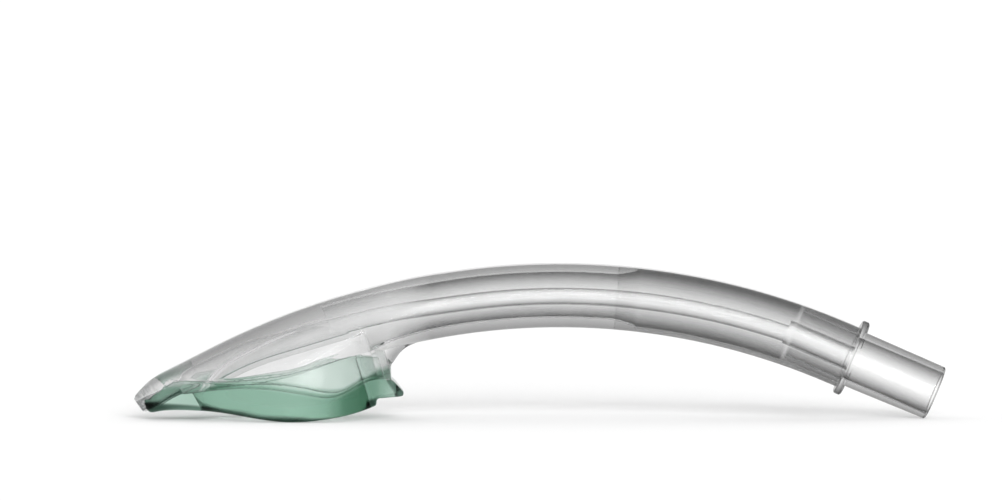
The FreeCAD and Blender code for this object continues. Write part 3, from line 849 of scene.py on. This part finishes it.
@dataclass
class GelCuff:
    """The soft cuff round the rim of the mask, rounded and seated on the clear shell."""

    node: str = "gel_cuff"
    neighbour: str = "mask_body"
    piece_name: str = "gel_cuff_soft"
    slot: str = "green_gel"
    grid: float = 0.45 * MM
    relax: float = 0.5
    rounds: int = 3
    clearance: float = 0.1 * MM
    seat_reach: float = 1.5 * MM

    def build(self) -> bpy.types.Object:
        """Make the cuff as one closed mesh and put it in the place of its solid.

        Returns:
            The piece.
        """
        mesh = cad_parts[self.node].data.copy()
        mesh.name = self.piece_name
        piece = bpy.data.objects.new(self.piece_name, mesh)
        bpy.context.scene.collection.objects.link(piece)
        self._round(piece)
        self._seat(piece)
        for face in piece.data.polygons:
            face.use_smooth = True
        piece.data.materials.clear()
        piece.data.materials.append(GREEN_GEL.build())
        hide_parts(self.node)
        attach(piece, "root")
        return piece

    def _round(self, piece: bpy.types.Object) -> None:
        """Give the cuff an even mesh and soften its edges.

        Args:
            piece: The cuff.
        """
        even = piece.modifiers.new("even_grid", "REMESH")
        even.mode = "VOXEL"
        even.voxel_size = self.grid
        even.adaptivity = 0.0
        relax = piece.modifiers.new("relax", "SMOOTH")
        relax.factor = self.relax
        relax.iterations = self.rounds
        shape = piece.evaluated_get(bpy.context.evaluated_depsgraph_get())
        solid = bpy.data.meshes.new_from_object(shape)
        piece.modifiers.clear()
        piece.data = solid

    def _seat(self, piece: bpy.types.Object) -> None:
        """Move every point of the cuff off the shell by the clearance.

        Args:
            piece: The cuff.
        """
        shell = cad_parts[self.neighbour].data
        points = [vertex.co.copy() for vertex in shell.vertices]
        tree = BVHTree.FromPolygons(points, [tuple(face.vertices) for face in shell.polygons])
        for vertex in piece.data.vertices:
            place, normal, _, _ = tree.find_nearest(vertex.co, self.seat_reach)
            if place is None:
                continue
            gap = (vertex.co - place).dot(normal)
            if gap < self.clearance:
                vertex.co = place + normal * self.clearance


@dataclass
class ClearMoulding:
    """A clear moulding whose solid is right as it is and gets its finish here."""

    node: str
    finish: ClearPlastic

    def dress(self) -> bpy.types.Object:
        """Put the finish on the solid.

        Returns:
            The dressed node.
        """
        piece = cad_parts[self.node]
        piece.data.materials.clear()
        piece.data.materials.append(self.finish.build())
        return piece


@dataclass(frozen=True)
class Viewpoint:
    """The camera of the side view, far off with a long lens."""

    distance: float = 2.2
    aim: tuple[float, float, float] = (-0.01082, 0.0, 0.0464)
    rise_deg: float = 2.0
    width: float = PHOTO_WIDTH / PX_PER_MM * MM
    sensor_width: float = 36.0
    far: float = 50.0

    def build(self) -> bpy.types.Object:
        """Make the camera.

        Returns:
            The camera.
        """
        data = bpy.data.cameras.new("side_view")
        data.sensor_width = self.sensor_width
        data.lens = self.sensor_width * self.distance / self.width
        data.clip_end = self.far
        camera = bpy.data.objects.new("side_view", data)
        rise = math.radians(self.rise_deg)
        camera.location = Vector(self.aim) + self.distance * Vector((0, -math.cos(rise), math.sin(rise)))
        camera.rotation_euler = (math.pi / 2 - rise, 0, 0)
        bpy.context.scene.collection.objects.link(camera)
        bpy.context.scene.camera = camera
        return camera


@dataclass(frozen=True)
class Studio:
    """A pale floor, a white surround and one soft light."""

    floor_size: float = 3.0
    floor_grey: float = 0.68
    floor_glow: float = 0.16
    floor_roughness: float = 0.9
    surround: float = 1.06
    white_to: float = 0.3
    soft_from: float = 0.95
    overhead: float = 0.6
    key_strength: float = 5.0
    key_rise_deg: float = 17.0
    key_turn_deg: float = 10.0
    key_spread_deg: float = 26.0

    def build(self) -> None:
        """Make the floor, the surround and the light."""
        self._floor()
        self._surround()
        self._key_light()
        bpy.context.scene.view_settings.view_transform = "Standard"

    def _floor(self) -> None:
        """The floor that the cuff and the connector stand on."""
        half = self.floor_size / 2
        mesh = bpy.data.meshes.new("floor")
        mesh.from_pydata(
            [(-half, -half, 0), (half, -half, 0), (half, half, 0), (-half, half, 0)], [], [(0, 1, 2, 3)]
        )
        floor = bpy.data.objects.new("floor", mesh)
        bpy.context.scene.collection.objects.link(floor)
        material = bpy.data.materials.new("floor_finish")
        material.use_nodes = True
        shader = material.node_tree.nodes["Principled BSDF"]
        shader.inputs["Base Color"].default_value = (self.floor_grey, self.floor_grey, self.floor_grey, 1.0)
        shader.inputs["Emission Color"].default_value = (1.0, 1.0, 1.0, 1.0)
        shader.inputs["Emission Strength"].default_value = self.floor_glow
        shader.inputs["Roughness"].default_value = self.floor_roughness
        shader.inputs["Specular IOR Level"].default_value = 0.0
        mesh.materials.append(material)

    def _surround(self) -> None:
        """A surround that is white at the horizon and softer overhead."""
        world = bpy.data.worlds.new("surround")
        world.use_nodes = True
        sheet = Sheet(world.node_tree)
        back = sheet.tree.nodes["Background"]
        back.inputs["Strength"].default_value = self.surround
        ramp = sheet.node("ShaderNodeValToRGB")
        horizon, zenith = ramp.color_ramp.elements
        horizon.position = self.white_to
        horizon.color = (1, 1, 1, 1)
        zenith.position = self.soft_from
        zenith.color = (self.overhead, self.overhead, self.overhead, 1)
        _, _, height = sheet.split(sheet.here("Generated"))
        sheet.feed(ramp.inputs[0], height)
        sheet.feed(back.inputs["Color"], ramp.outputs[0])
        bpy.context.scene.world = world

    def _key_light(self) -> None:
        """One wide, far light from the front that fills the floor evenly and throws the soft shadow back."""
        data = bpy.data.lights.new("key_light", "SUN")
        data.energy = self.key_strength
        data.angle = math.radians(self.key_spread_deg)
        light = bpy.data.objects.new("key_light", data)
        light.rotation_euler = (math.radians(90.0 - self.key_rise_deg), 0, math.radians(self.key_turn_deg))
        bpy.context.scene.collection.objects.link(light)


def main() -> None:
    """Build the scene in order: studio, camera, the clear mouldings and the cuff."""
    logging.basicConfig(level=logging.INFO, format="%(name)s: %(message)s")
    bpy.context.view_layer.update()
    Studio().build()
    Viewpoint().build()
    for node, finish in (("mask_body", CLEAR_BODY), ("airway_tube", CLEAR_STEM), ("connector", CLEAR_HARD)):
        piece = ClearMoulding(node, finish).dress()
        LOG.info("%s dressed, %d faces", piece.name, len(piece.data.polygons))
    cuff = GelCuff().build()
    LOG.info("%s built, %d faces", cuff.name, len(cuff.data.polygons))


if __name__ == "__main__":
    main()
